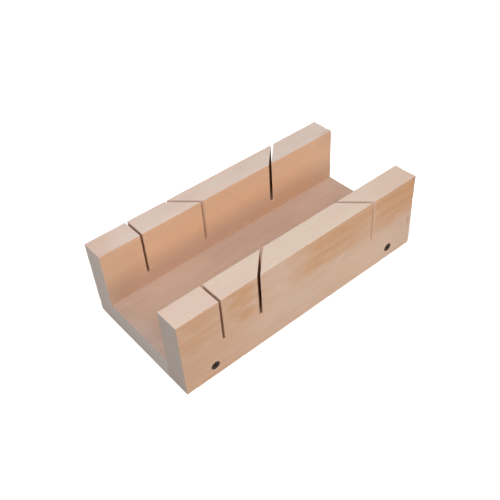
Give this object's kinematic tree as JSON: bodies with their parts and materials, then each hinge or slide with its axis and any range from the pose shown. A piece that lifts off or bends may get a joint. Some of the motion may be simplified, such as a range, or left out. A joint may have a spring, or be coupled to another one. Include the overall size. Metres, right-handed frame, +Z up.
{
  "type": "mitre box",
  "caption": "Hardwood mitre box: a bed board between two tall side walls with saw kerfs at 90 and 45 degrees, held by countersunk wood screws.",
  "frame": {"origin": "middle of the underside, centred along the length and across the width", "axes": "+X along the length, from the end with the square kerf to the end with the crossing kerfs; +Y from the front wall to the rear wall; +Z up"},
  "size_m": [0.3, 0.146, 0.088],
  "materials": {
    "beech": "planed, unfinished",
    "screw_steel": "blackened, dull"
  },
  "bodies": {
    "root": {"base_board": "beech", "front_wall": "beech", "rear_wall": "beech", "screw_front_left": "screw_steel", "screw_front_right": "screw_steel", "screw_rear_left": "screw_steel", "screw_rear_right": "screw_steel"}
  },
  "joints": []
}
